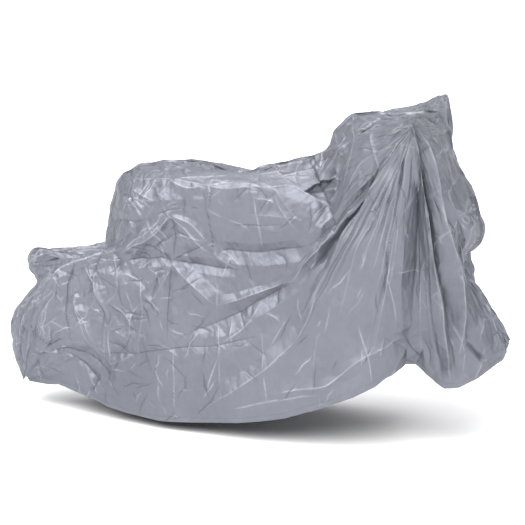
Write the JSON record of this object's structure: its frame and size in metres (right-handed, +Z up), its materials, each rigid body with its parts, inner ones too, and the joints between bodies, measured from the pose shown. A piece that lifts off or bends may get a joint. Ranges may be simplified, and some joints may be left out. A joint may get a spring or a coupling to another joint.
{
  "type": "bicycle cover",
  "caption": "Draped bicycle cover of thin silver-grey film, hollow and open below, with folds fanning from the handlebar grips and a welded seam along the middle.",
  "frame": {"origin": "the held point under the cover's top, on the middle plane, above the midpoint between the wheel hubs", "axes": "+X to the cover's front, +Y to its left, +Z up"},
  "size_m": [2.0545, 0.66, 1.2618],
  "materials": {
    "film": "thin silver-grey film, satin, creased",
    "weld": "two layers of the film welded flat, satin"
  },
  "bodies": {
    "root": {"right_panel": "film", "left_panel": "film", "ridge_seam": "weld"}
  },
  "joints": []
}
